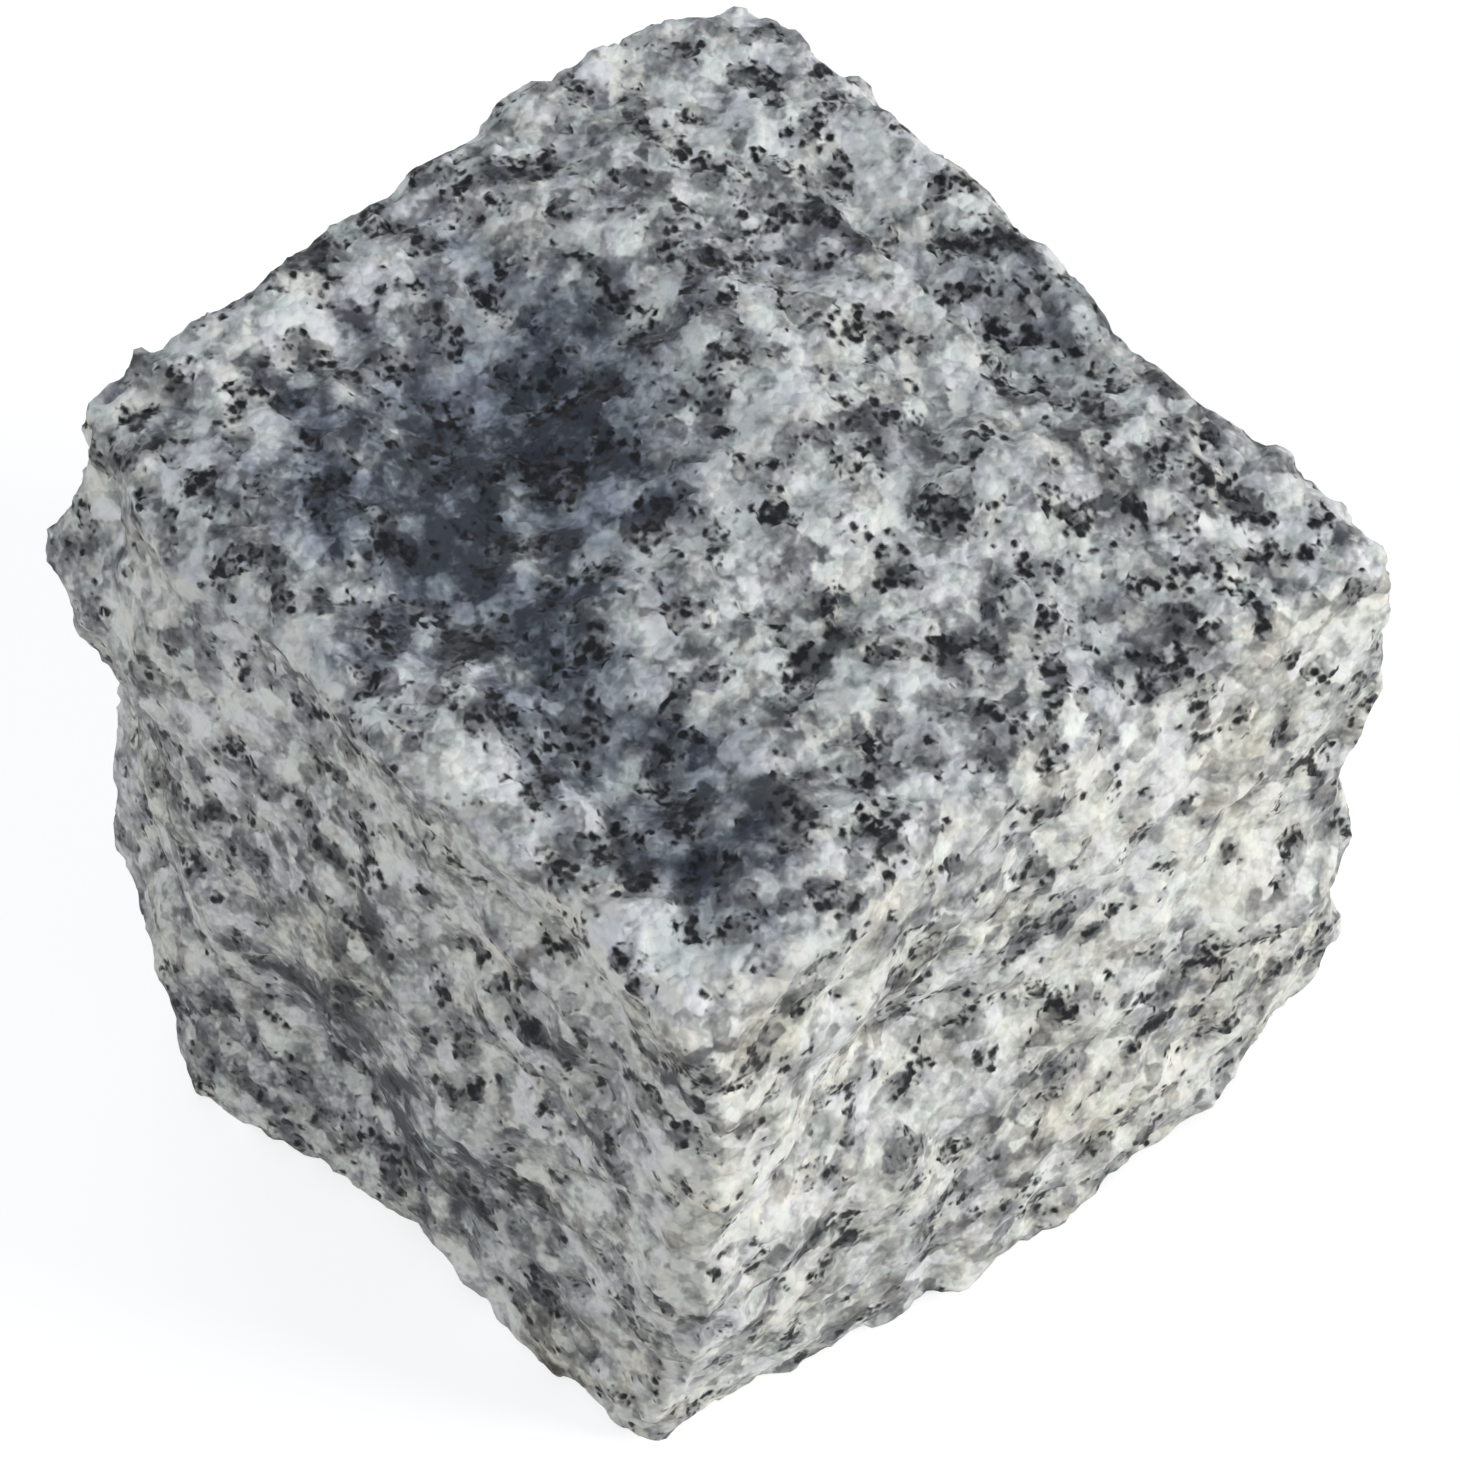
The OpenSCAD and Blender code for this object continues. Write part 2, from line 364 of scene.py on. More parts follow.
@dataclass(frozen=True)
class Patch:
    """A roundish part of the stone with a tone, a painted light or a painted shade of its own.

    Attributes:
        place: Its middle (mm).
        reach: How far it reaches from there (mm).
        depth: How strong its tone is, or below 0 to turn it round.
    """

    place: Point
    reach: float
    depth: float

    def strength(self, place: Vector, ragged: float) -> float:
        """How strong the patch is at a place.

        Args:
            place: The place (mm).
            ragged: Noise that makes its rim uneven, from -1 to 1.

        Returns:
            Its strength, from 0 at the rim to depth.
        """
        away = (place - Vector(self.place)).length / self.reach + RIM_RAGGED * ragged
        share = min(max((1.0 - away) / RIM_FADE, 0.0), 1.0)
        return self.depth * share * share * (3.0 - 2.0 * share)


@dataclass(frozen=True)
class Granite:
    """The granite's minerals.

    Each crystal has random numbers from 0 to 1, which pick its mineral and its
    tone. A share says how much of the scale of tones something takes up.

    Attributes:
        blot: Size of the largest crystals (mm).
        crystal: Size of the crystals between them and of the mica (mm).
        speck: Size of the smallest grains and flecks (mm).
        facet: Size of the smallest broken facets (mm).
        tear: How far the crystals' outlines wander (mm).
        facet_tear: How far the facets' outlines wander (mm).
        blur: How soft the crystals' borders are (mm).
        fine_scale: How fine the noise inside the crystals is (waves to a mm).
        fine_rough: How strong its finer layers are, from 0 to 1.
        relief: How strong the relief is that is too fine for the mesh (mm).
        facet_lean: How much the facets in it lean.
        facet_dome: How much their middles stand out.
        facet_drift: How uneven they are.
        drift_scale: How fine that unevenness is (waves to a mm).
        mica_pick: The numbers from which a crystal is mica.
        mica_edge: Where the mica fades, in crystals from its middle.
        mica_wander: How uneven that edge is, in crystals.
        mica_spread: How much further it lies where the mica is thick.
        fleck_pick: The numbers from which a smallest grain is a black fleck.
        fleck_edge: Where a fleck fades, in grains from its middle.
        fleck_spread: How much more of them there are where the mica is thick.
        halo_edge: Where the grey round the mica fades, in crystals.
        glint_pick: The numbers from which a smallest grain is painted white, as a painted glint.
        worn: The fine noise over which mica looks worn.
        blot_share: The largest crystals' share of the tones.
        crystal_share: The share of the crystals between them.
        speck_share: The smallest grains' share.
        fine_share: The fine noise's share.
        glint_share: The painted glints' share.
        halo_share: The share of the grey round the mica.
        hue_share: How much the largest crystals differ in tint.
        specular: How glossy the minerals are.
        matt: The roughness of most of the stone.
        mica_gloss: How much less rough the mica is.
        white_gloss: How much less rough the whitest feldspar is.
        quartz_gloss: How much less rough the darkest quartz is.
        white_band: The tones over which feldspar counts as white.
        quartz_band: The tones over which quartz ends.
    """

    blot: float = 2.4
    crystal: float = 0.95
    speck: float = 0.5
    facet: float = 1.25
    tear: float = 0.8
    facet_tear: float = 0.2
    blur: float = 0.15
    fine_scale: float = 1.05
    fine_rough: float = 0.54
    relief: float = 0.56
    facet_lean: float = 0.4
    facet_dome: float = 0.5
    facet_drift: float = 0.2
    drift_scale: float = 1.3
    mica_pick: Band = (0.83, 0.92)
    mica_edge: Band = (0.22, 0.75)
    mica_wander: float = 0.6
    mica_spread: float = 0.5
    fleck_pick: Band = (0.94, 0.99)
    fleck_edge: Band = (0.30, 0.90)
    fleck_spread: float = 0.5
    halo_edge: Band = (0.35, 0.95)
    glint_pick: Band = (0.84, 1.0)
    worn: Band = (0.45, 0.75)
    blot_share: float = 0.60
    crystal_share: float = 0.44
    speck_share: float = 0.26
    fine_share: float = 0.4
    glint_share: float = 0.20
    halo_share: float = 0.30
    hue_share: float = 0.9
    specular: float = 0.15
    matt: float = 0.78
    mica_gloss: float = 0.22
    white_gloss: float = 0.10
    quartz_gloss: float = 0.06
    white_band: Band = (0.85, 1.0)
    quartz_band: Band = (0.2, 0.4)

    def material(self) -> bpy.types.Material:
        """Builds the granite's material.

        Returns:
            The material.
        """
        material = bpy.data.materials.new("granite")
        tree = Tree(material)
        place = self._place(tree)
        fine = tree.noise(place, self.fine_scale, detail=2.0, rough=self.fine_rough)
        torn = tree.blurred(self._torn(tree, place, fine, self.tear), self.blur)
        sizes = (self.blot, self.crystal, self.speck)
        blot, crystal, speck = (tree.cells(torn, 1.0 / size) for size in sizes)
        large, pick, small = (self._pick(tree, cells) for cells in (blot, crystal, speck))
        dense = Stain.MICA.read(tree)
        is_mica = (pick + dense).ramp(*self.mica_pick)
        middle = crystal + (fine - 0.5) * self.mica_wander
        edge = (middle - dense.at_least(0.0) * self.mica_spread).ramp(*self.mica_edge)
        is_fleck = (small + dense * self.fleck_spread).ramp(*self.fleck_pick)
        fleck = is_fleck * (1.0 - speck.ramp(*self.fleck_edge))
        mica = (is_mica * (1.0 - edge * edge)).at_least(fleck)
        grains = (pick - 0.5) * self.crystal_share + (small - 0.5) * self.speck_share
        # Painted glints: the palest of the smallest grains are turned white.
        grains = grains + small.ramp(*self.glint_pick) * self.glint_share
        grains = (grains + (fine - 0.5) * self.fine_share) * Stain.ROUGH.read(tree)
        halo = is_mica * (1.0 - middle.ramp(*self.halo_edge))
        level = Stain.PALE.read(tree) + (large - 0.5) * self.blot_share + grains
        level = level - halo * self.halo_share
        hue = Stain.HUE.read(tree) + (self._pick(tree, blot, 1) - 0.5) * self.hue_share
        black = tree.mix(fine.ramp(*self.worn), Tone.MICA, Tone.MICA_WORN)
        colour = tree.mix(mica, self._crystals(tree, level, hue), black)
        # Painted shade darkens and blues the colour; the rust tint is both real stains and painted
        # warm light.
        for stain, tint in ((Stain.SMOKE, Tone.SMOKE), (Stain.RUST, Tone.RUST)):
            colour = tree.mix(stain.read(tree), colour, self._tinted(tree, colour, tint))
        shader = tree.node(
            "ShaderNodeBsdfPrincipled",
            {},
            {
                "Base Color": colour,
                "Roughness": self._roughness(mica, level),
                "Specular IOR Level": self.specular,
                "Normal": self._relief(tree, place),
            },
        )
        tree.finish(shader)
        return material

    @staticmethod
    def _place(tree: Tree) -> Sock:
        """The stone's own coordinates (mm), drawn together along the rift."""
        place = tree.node("ShaderNodeTexCoord", output="Object")
        place = tree.vector("SCALE", place, 1.0 / MM)
        along = tree.vector("DOT_PRODUCT", place, RIFT) * DRAWN
        return tree.vector("SUBTRACT", place, tree.vector("SCALE", RIFT, along))

    def _crystals(self, tree: Tree, level: Sock, hue: Sock) -> Sock:
        """The colour of the quartz and the feldspar.

        Args:
            tree: The material's nodes.
            level: How pale the crystal is, from 0 to 1.
            hue: Where its tint lies, from 0 for lilac to 1 for buff.

        Returns:
            The colour.
        """
        tones = (
            (0.00, Tone.QUARTZ_DARK),
            (0.24, Tone.QUARTZ),
            (0.48, Tone.FELDSPAR_DULL),
            (0.72, Tone.FELDSPAR),
            (1.00, Tone.FELDSPAR_WHITE),
        )
        hues = (
            (0.15, Tone.LILAC),
            (0.40, Tone.NEUTRAL),
            (0.60, Tone.GREENISH),
            (0.90, Tone.BUFF),
        )
        tint = tree.node("ShaderNodeValToRGB", {"stops": hues}, {"Fac": hue})
        colour = tree.node("ShaderNodeValToRGB", {"stops": tones}, {"Fac": level})
        return self._tinted(tree, colour, tint)

    def _roughness(self, mica: Sock, level: Sock) -> Sock:
        """The roughness, which is lower on mica, on white feldspar and on quartz."""
        white = level.ramp(*self.white_band) * self.white_gloss
        quartz = (1.0 - level.ramp(*self.quartz_band)) * self.quartz_gloss
        return self.matt - mica * self.mica_gloss - white - quartz

    @staticmethod
    def _pick(tree: Tree, cells: Sock, which: int = 0) -> Sock:
        """A number for each cell, from 0 to 1, of which there are three."""
        colour = tree.also(cells, "Color")
        return tree.node("ShaderNodeSeparateColor", {}, {"Color": colour}, which)

    @staticmethod
    def _torn(tree: Tree, place: Sock, drift: Sock, amount: float) -> Sock:
        """Moves a place about by noise, so that crystals have uneven outlines.

        Args:
            tree: The material's nodes.
            place: The coordinates to move (mm).
            drift: The noise that moves them.
            amount: How far it moves them (mm).

        Returns:
            The moved coordinates.
        """
        return tree.moved(place, tree.centred(tree.also(drift, "Color")), amount)

    @staticmethod
    def _tinted(tree: Tree, colour: Sock, tint: Any) -> Sock:
        """A colour multiplied by a tint."""
        return tree.mix(1.0, colour, tint, "MULTIPLY")

    def _relief(self, tree: Tree, place: Sock) -> Sock:
        """The relief too fine for the mesh: small broken crystals, each leaning its own way.

        Args:
            tree: The material's nodes.
            place: The coordinates (mm).

        Returns:
            The normal.
        """
        drift = tree.noise(place, self.drift_scale)
        torn = self._torn(tree, place, drift, self.facet_tear)
        cell = tree.cells(torn, 1.0 / self.facet)
        lean = tree.centred(tree.also(cell, "Color"))
        offset = tree.vector("SUBTRACT", torn, tree.also(cell, "Position"))
        height = tree.vector("DOT_PRODUCT", offset, lean) * self.facet_lean
        height = height - cell * self.facet_dome + drift * self.facet_drift
        height = height * Stain.ROUGH.read(tree)
        return tree.node(
            "ShaderNodeBump",
            {},
            {"Strength": 1.0, "Distance": self.relief * MM, "Height": height},
        )


# The stone's shape


# What turns the middle of a facet into its random lean and height.
FACET_KEY = 7.31
LEAN_KEY = 91.7
HEIGHT_KEY = 73.9
HEIGHT_SHIFT = Vector((0.0, 9.0, 0.0))

# More than half a turn, so that triangles are joined in pairs at any angle.
ANY_ANGLE = 3.2

# How near two of the CAD mesh's points lie that are one (mm).
SAME_POINT = 0.01


@dataclass(frozen=True)
class Waves:
    """Uneven waves over the stone.

    Attributes:
        size: Size of the largest waves (mm).
        fall: How fast the finer ones get weaker.
        finer: How many times as fine each layer is as the one before.
        layers: How many layers there are.
        shift: Where they are read, so that no two kinds match (waves).
        height: How high they are.
    """

    size: float
    fall: float
    finer: float
    layers: int
    shift: Point = (0.0, 0.0, 0.0)
    height: float = 1.0

    def at(self, place: Vector) -> float:
        """Their height, above or below 0, at a place given in mm."""
        spot = place / self.size + Vector(self.shift)
        return self.height * noise.fractal(spot, self.fall, self.finer, self.layers)


@dataclass(frozen=True)
class Shares:
    """How much each thing adds to one of the stone's broad tones.

    Attributes:
        base: What is there without them.
        rise: For each mm that a point stands out, so that the hollows get painted shade.
        dense: For thick mica.
        painted_light_and_shade: For painted light, and below 0 for painted shade.
        painted_shade: For painted shade, dark and bluish.
        side: For an upright face.
        left: For the left face.
        front: For the front face.
    """

    base: float = 0.0
    rise: float = 0.0
    dense: float = 0.0
    painted_light_and_shade: float = 0.0
    painted_shade: float = 0.0
    side: float = 0.0
    left: float = 0.0
    front: float = 0.0

    def total(self, amounts: dict[str, float]) -> float:
        """The base and the shares of the amounts that are given by name."""
        return self.base + sum(getattr(self, name) * much for name, much in amounts.items())


RIM_WAVES = Waves(7.0, 0.8, 2.0, 3)
BROAD_WAVES = Waves(9.0, 0.9, 2.1, 2, (40.0, 0.0, 0.0), 0.28)
CLUSTER_WAVES = Waves(3.2, 0.8, 2.1, 3, (0.0, 0.0, 30.0), 0.45)
MICA_WAVES = Waves(3.9, 0.8, 2.1, 3, (0.0, 70.0, 0.0))
HUE_WAVES = Waves(5.5, 0.9, 2.1, 2, (0.0, 30.0, 60.0), 0.5)

# The hue's middle, between lilac at 0 and buff at 1.
MIDDLE_HUE = 0.5

# Points that stand out are paler and have less mica, so the hollows get painted shade; the mica is
# also thicker in painted shade and thinner in painted light.
PALE_SHARES = Shares(base=0.585, rise=0.08, dense=-0.24, painted_light_and_shade=0.14, painted_shade=-0.30)
PATCHY_SHARES = Shares(base=1.0, painted_shade=-0.3, left=-0.3, front=-0.2)
MICA_SHARES = Shares(
    base=-0.01, rise=-0.10, dense=0.80, painted_light_and_shade=-0.08, painted_shade=0.04, side=-0.06, left=-0.05, front=-0.02
)
ROUGH_SHARES = Shares(base=1.0, side=-0.05, front=-0.3)


@dataclass
class SplitBlock:
    """The block of stone, with its split surface.

    Attributes:
        cuts: How many times each CAD edge is cut.
        smoothings: How many times the CAD facets are smoothed away.
        sharp: The angle from which an edge is part of an arris (radians).
        rounding: How many times the form is smoothed to find the arrises.
        chip: Size of the larger fracture facets (mm).
        chip_lean: Their greatest slope.
        chip_step: How far they stand in front of each other (mm).
        grain: Size of the grains that stand out (mm).
        grain_lean: Their greatest slope.
        grain_step: How far they stand in front of each other (mm).
        grain_shift: Where their pattern is read, so that it has no chip in it (mm).
        knobs: The knobs between the two, in mm in or out.
        bend: How far the outlines of chips and grains wander (mm).
        bend_sizes: Size of the bends in them (mm).
        seed: What the bends are drawn from. With 0 they would differ from run to run.
        nick: How deep the arrises are nicked, for each mm of their sharpness.
        nick_size: Size of the nicks (mm).
        nick_most: The sharpness from which they get no deeper (mm).
        side_calm: How much lower all this is on upright faces, from 0 to 1.
        relax: How far all this is smoothed, from 0 to 1.
        skin: How far the CAD box stays outside the stone (mm).
        bed: How high above the ground a point may be to count as the bed (mm).
        painted_shade: Where shade is painted, darker and bluer, over hollows that lie in shadow.
        rust: Where it is stained a little brown.
        painted_light_and_shade: Where light is painted, paler, and with a depth below 0 where shade
            is painted, darker.
        clots: Where the mica is thick.
        clot_share: How much thicker it is there.
        arris_highlight: How much paler an arris is painted, as a painted highlight.
        side_warm_light: How much warm light is painted on all upright faces, with the rust tint.
        warm_light_size: Size of the parts without that painted warm light (mm).
        lowest: The lowest corner of the CAD box (m).
        highest: Its highest corner (m).
    """

    cuts: int = 3
    smoothings: int = 4
    sharp: float = 0.4
    rounding: int = 12
    chip: float = 4.8
    chip_lean: float = 0.13
    chip_step: float = 0.06
    grain: float = 2.5
    grain_lean: float = 0.25
    grain_step: float = 0.08
    grain_shift: Point = (91.0, 17.0, 53.0)
    knobs: Waves = Waves(3.6, 0.7, 2.1, 3, height=0.3)
    bend: float = 0.9
    bend_sizes: Sequence[float] = (7.0, 2.3)
    seed: int = 7
    nick: float = 0.9
    nick_size: float = 5.0
    nick_most: float = 1.2
    side_calm: float = 0.5
    relax: float = 0.2
    skin: float = 0.02
    bed: float = 0.3
    painted_shade: Sequence[Patch] = ()
    rust: Sequence[Patch] = ()
    painted_light_and_shade: Sequence[Patch] = ()
    clots: Sequence[Patch] = ()
    clot_share: float = 0.25
    arris_highlight: float = 0.5
    side_warm_light: float = 0.10
    warm_light_size: float = 11.0
    lowest: Vector = field(default_factory=Vector)
    highest: Vector = field(default_factory=Vector)

    def build(self, node: str, cad: bpy.types.Object) -> bpy.types.Object:
        """Makes the block.

        Args:
            node: The CAD node's name.
            cad: Its object.

        Returns:
            The block's object, at the origin.
        """
        self.lowest, self.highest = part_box(node)
        mesh = bmesh.new()
        mesh.from_mesh(cad.data)
        bmesh.ops.remove_doubles(mesh, verts=mesh.verts, dist=SAME_POINT * MM)
        bmesh.ops.join_triangles(
            mesh,
            faces=mesh.faces,
            angle_face_threshold=ANY_ANGLE,
            angle_shape_threshold=ANY_ANGLE,
        )
        bmesh.ops.subdivide_edges(mesh, edges=mesh.edges, cuts=self.cuts, use_grid_fill=True)
        self._smooth(mesh)
        self._break_up(mesh)
        self._level_bed(mesh)
        bmesh.ops.triangulate(mesh, faces=mesh.faces)
        for face in mesh.faces:
            face.smooth = True
        self._stain(mesh)
        data = bpy.data.meshes.new("split_block")
        mesh.to_mesh(data)
        mesh.free()
        block = bpy.data.objects.new("split_block", data)
        bpy.context.scene.collection.objects.link(block)
        return block

    def _smooth(self, mesh: bmesh.types.BMesh) -> None:
        """Smooths the CAD facets away, but keeps most of each arris.

        It keeps with each vertex how sharp the form is there, as how far further
        smoothing would move it (mm).

        Args:
            mesh: The divided mesh.
        """
        layer = mesh.verts.layers.float.new("arris")
        mesh.normal_update()
        sharp = {v for e in mesh.edges if e.calc_face_angle(0.0) > self.sharp for v in e.verts}
        soft = [v for v in mesh.verts if v not in sharp]
        self._smooth_once(mesh, mesh.verts)
        for _ in range(self.smoothings):
            self._smooth_once(mesh, soft)
        shape = [v.co.copy() for v in mesh.verts]
        for _ in range(self.rounding):
            self._smooth_once(mesh, mesh.verts)
        for vert, old in zip(mesh.verts, shape):
            vert[layer] = (vert.co - old).length / MM
            vert.co = old

    @staticmethod
    def _smooth_once(
        mesh: bmesh.types.BMesh, verts: Sequence[bmesh.types.BMVert], factor: float = 0.5
    ) -> None:
        """Smooths some of the mesh by one small step."""
        bmesh.ops.smooth_vert(
            mesh, verts=verts, factor=factor, use_axis_x=True, use_axis_y=True, use_axis_z=True
        )

    def _break_up(self, mesh: bmesh.types.BMesh) -> None:
        """Breaks the smooth form up into fracture facets, knobs and grains.

        It keeps with each vertex how far it was moved outwards (mm).

        Args:
            mesh: The smooth, finely divided mesh.
        """
        noise.seed_set(self.seed)
        mesh.normal_update()
        arris = mesh.verts.layers.float["arris"]
        rises = []
        for vert in mesh.verts:
            place = vert.co / MM
            bent = place.copy()
            for size in self.bend_sizes:
                bent += self.bend * noise.noise_vector(place / size)
            rise = self._facet(bent, self.chip, self.chip_lean, self.chip_step)
            bent_grain = bent + Vector(self.grain_shift)
            rise += self._facet(bent_grain, self.grain, self.grain_lean, self.grain_step)
            rise += self.knobs.at(bent)
            nick = max(0.0, noise.noise(place / self.nick_size)) * self.nick
            rise -= min(vert[arris], self.nick_most) * nick
            rises.append(rise * (1.0 - self.side_calm * (1.0 - abs(vert.normal.z))))
        layer = mesh.verts.layers.float.new("rise")
        for vert, rise in zip(mesh.verts, rises):
            vert.co += vert.normal * (rise * MM)
            vert[layer] = rise
        self._smooth_once(mesh, mesh.verts, self.relax)
        self._keep_inside(mesh)

    def _keep_inside(self, mesh: bmesh.types.BMesh) -> None:
        """Keeps every point inside the CAD box, and lets the bed stand on the ground."""
        for vert in mesh.verts:
            for axis in range(3):
                low = self.lowest[axis] + (0.0 if axis == 2 else self.skin * MM)
                high = self.highest[axis] - self.skin * MM
                vert.co[axis] = min(max(vert.co[axis], low), high)

    @staticmethod
    def _facet(place: Vector, size: float, lean: float, step: float) -> float:
        """The height of a field of broken facets, each leaning its own way.

        Args:
            place: Where it is read (mm).
            size: Size of a facet (mm).
            lean: Their greatest slope.
            step: How far they stand out from or behind each other (mm).

        Returns:
            The height (mm).
        """
        _, points = noise.voronoi(place / size)
        middle = points[0]
        key = middle * FACET_KEY
        tilt = 2.0 * noise.cell_vector(key * LEAN_KEY) - Vector((1.0, 1.0, 1.0))
        height = noise.cell(key * HEIGHT_KEY + HEIGHT_SHIFT)
        return step * height + lean * (place - middle * size).dot(tilt)

    def _stain(self, mesh: bmesh.types.BMesh) -> None:
        """Keeps the broad tones of the stone, and the light and shade painted on it, with the
        mesh's points.

        Args:
            mesh: The finished mesh.
        """
        layers = {stain: mesh.verts.layers.float.new(stain.value) for stain in Stain}
        risen, arris = (mesh.verts.layers.float[name] for name in ("rise", "arris"))
        rift = Vector(RIFT)
        for vert in mesh.verts:
            place = vert.co / MM
            ragged = RIM_WAVES.at(place)
            painted_shade, rust, painted_light_and_shade, clot = (
                sum(patch.strength(place, ragged) for patch in patches)
                for patches in (self.painted_shade, self.rust, self.painted_light_and_shade, self.clots)
            )
            place -= rift * (place.dot(rift) * DRAWN)
            side = 1.0 - abs(vert.normal.z)
            # Painted warm light: the upright faces are tinted warm in patches.
            rust += side * max(0.0, self.side_warm_light + 0.5 * noise.noise(place / self.warm_light_size))
            amounts = {
                "rise": vert[risen],
                "dense": MICA_WAVES.at(place) + self.clot_share * clot,
                # Painted highlight along the arrises, added to the painted light and shade.
                "painted_light_and_shade": painted_light_and_shade + self.arris_highlight * min(vert[arris], 1.0),
                "painted_shade": painted_shade,
                "side": side,
                "left": max(0.0, -vert.normal.x),
                "front": max(0.0, -vert.normal.y),
            }
            patchy = PATCHY_SHARES.total({**amounts, "painted_shade": min(painted_shade, 1.0)})
            pale = BROAD_WAVES.at(place) + CLUSTER_WAVES.at(place)
            tones = {
                Stain.SMOKE: min(painted_shade, 1.0),
                Stain.RUST: min(rust, 1.0),
                Stain.PALE: pale * patchy + PALE_SHARES.total(amounts),
                Stain.MICA: MICA_SHARES.total(amounts),
                Stain.HUE: MIDDLE_HUE + HUE_WAVES.at(place),
                Stain.ROUGH: ROUGH_SHARES.total(amounts),
            }
            for stain, tone in tones.items():
                vert[layers[stain]] = tone

    def _level_bed(self, mesh: bmesh.types.BMesh) -> None:
        """Joins the level parts of the bed into large faces, which need no detail."""
        flat = [f for f in mesh.faces if max(v.co.z for v in f.verts) < self.bed * MM]
        for face in flat:
            for vert in face.verts:
                vert.co.z = 0.0
        edges = [e for e in mesh.edges if all(v.co.z == 0.0 for v in e.verts)]
        verts = [v for v in mesh.verts if v.co.z == 0.0]
        bmesh.ops.dissolve_limit(
            mesh, angle_limit=0.001, verts=verts, edges=edges, use_dissolve_boundaries=False
        )


# The studio


@dataclass(frozen=True)
class Lamp:
    """A square lamp that points at the stone.

    Attributes:
        name: Its name.
        towards: The direction from the stone to it.
        away: How far away it is (m).
        size: Its size (m).
        power: Its power (W).
        colour: Its colour.
    """

    name: str
    towards: Point
    away: float
    size: float
    power: float
    colour: Point

    def build(self, middle: Vector) -> None:
        """Makes the lamp.

        Args:
            middle: The stone's middle (m).
        """
        data = bpy.data.lights.new(self.name, "AREA")
        data.shape = "SQUARE"
        data.size = self.size
        data.energy = self.power
        data.color = self.colour
        lamp = bpy.data.objects.new(self.name, data)
        bpy.context.scene.collection.objects.link(lamp)
        direction = Vector(self.towards).normalized()
        lamp.location = middle + direction * self.away
        lamp.rotation_euler = direction.to_track_quat("Z", "Y").to_euler()


WHITE = (1.0, 1.0, 1.0, 1.0)
LAMPS = (
    Lamp("key", (0.56, -0.80, 0.31), 1.3, 0.50, 14.8, (1.0, 1.0, 0.975)),
    Lamp("sky", (-0.1, 0.3, 1.0), 1.5, 1.0, 2.5, (0.40, 0.66, 1.0)),
    Lamp("side", (-1.0, -0.1, 0.62), 1.5, 0.8, 9.0, (1.0, 1.0, 0.99)),
    Lamp("back", (0.6, 1.0, 0.3), 1.6, 1.2, 8.0, (1.0, 1.0, 1.0)),
)


